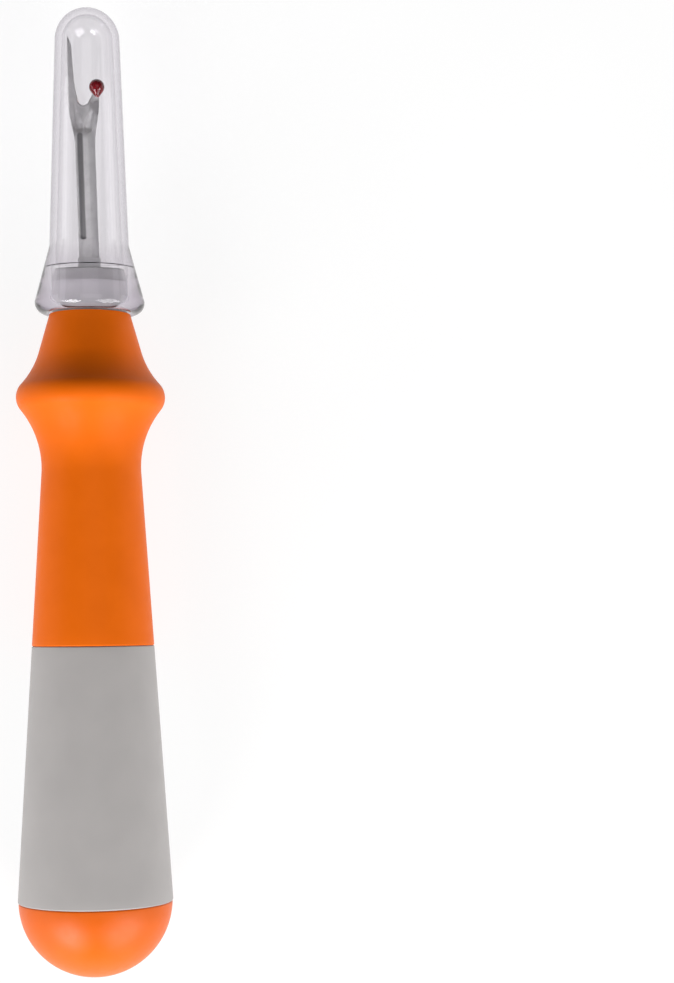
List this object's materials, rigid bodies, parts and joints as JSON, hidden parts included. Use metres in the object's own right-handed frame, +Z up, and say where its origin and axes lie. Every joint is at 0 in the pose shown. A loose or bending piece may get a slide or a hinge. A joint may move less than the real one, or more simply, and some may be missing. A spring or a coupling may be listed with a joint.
{
  "type": "seam ripper",
  "caption": "Seam ripper with a forked steel blade, a red safety ball, a soft bulged handle in two colours and a clear push-on cap.",
  "frame": {"origin": "middle of the footprint of the tool as it lies on its side with its cap on", "axes": "+Y along the handle from the butt to the point of the blade, +Z up, +X to the side of the short prong"},
  "size_m": [0.0208, 0.13, 0.0208],
  "materials": {
    "clear_plastic": "clear, polished",
    "blade_steel": "forged and tumbled",
    "red_plastic": "gloss",
    "grey_plastic": "satin",
    "core_plastic": "moulded",
    "orange_soft": "silky matte",
    "grey_soft": "silky matte",
    "orange_plastic": "silky matte"
  },
  "bodies": {
    "handle": {"blade": "blade_steel", "safety_ball": "red_plastic", "blade_holder": "grey_plastic", "handle_core": "core_plastic", "front_grip": "orange_soft", "rear_grip": "grey_soft", "butt_cap": "orange_plastic"},
    "cap": {"clear_cap": "clear_plastic"}
  },
  "joints": [
    {"name": "cap_slide", "type": "slide", "parent": "handle", "child": "cap", "axis": [0, 1, 0], "range_m": [0, 0.045]}
  ]
}
